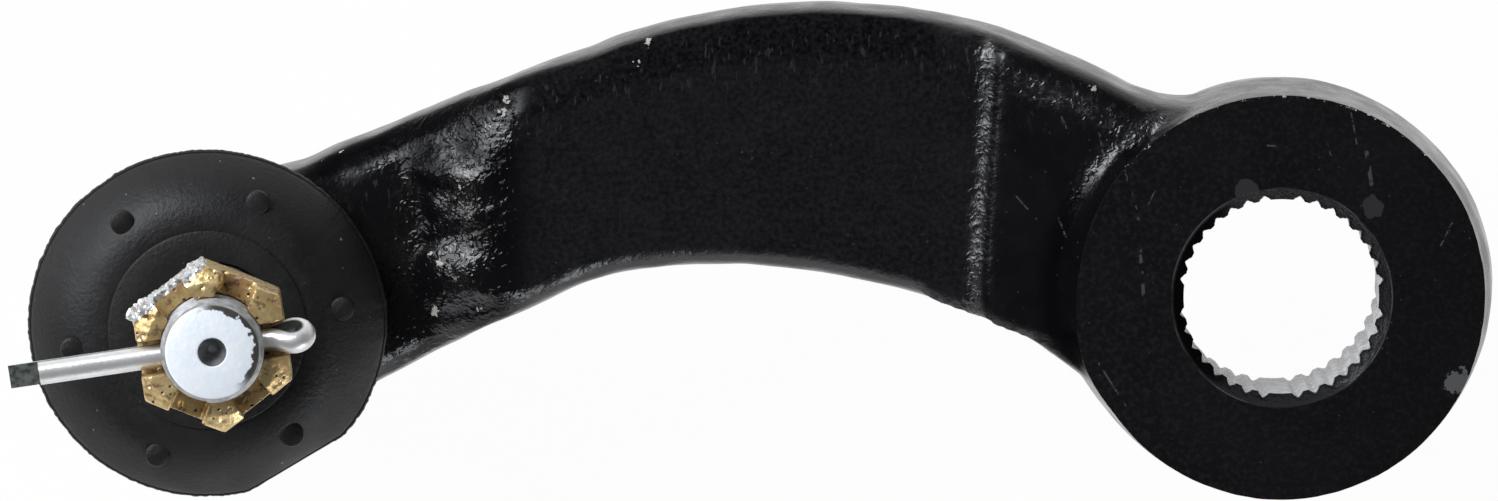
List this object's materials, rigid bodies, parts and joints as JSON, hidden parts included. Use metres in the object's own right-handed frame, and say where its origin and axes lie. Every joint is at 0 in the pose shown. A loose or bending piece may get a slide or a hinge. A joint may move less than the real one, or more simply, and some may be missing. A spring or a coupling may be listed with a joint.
{
  "type": "pitman arm",
  "caption": "Curved forged steering arm with a splined taper bore in a round hub at one end and a ball stud with dust boot, slotted nut and split pin at the other.",
  "frame": {"origin": "on the bore axis, in the machined gearbox-side face of the hub", "axes": "+Z along the bore axis to the nut side, the way the ball stud points; +X from the ball stud to the bore; +Y to the convex edge of the arm"},
  "size_m": [0.2301, 0.079, 0.0935],
  "materials": {
    "black_paint": "gloss black paint over a rough forging",
    "zinc_plate": "pale zinc plate",
    "bearing_metal": "sintered bearing metal",
    "spring_steel": "bright drawn steel",
    "boot_rubber": "satin moulded rubber",
    "yellow_zinc": "yellow passivated zinc with dark pits"
  },
  "bodies": {
    "arm": {"pitman_arm": "black_paint", "upper_bearing": "bearing_metal", "preload_spring": "spring_steel", "cover_plate": "black_paint", "grease_fitting": "zinc_plate"},
    "seat": {"lower_bearing": "bearing_metal"},
    "boot": {"dust_boot": "boot_rubber"},
    "stud": {"ball_stud": "zinc_plate", "slotted_nut": "yellow_zinc", "cotter_pin": "spring_steel"}
  },
  "joints": [
    {"name": "seat_turn", "type": "hinge", "parent": "arm", "child": "seat", "pos_m": [-0.1655, 0, 0.009], "axis": [0, 0, 1], "continuous": true},
    {"name": "stud_lean", "type": "hinge", "parent": "seat", "child": "boot", "pos_m": [-0.1655, 0, 0.009], "axis": [0, 1, 0], "range_deg": [-18, 18], "deforming": ["dust_boot"]},
    {"name": "stud_spin", "type": "hinge", "parent": "boot", "child": "stud", "pos_m": [-0.1655, 0, 0.009], "axis": [0, 0, 1], "continuous": true}
  ]
}
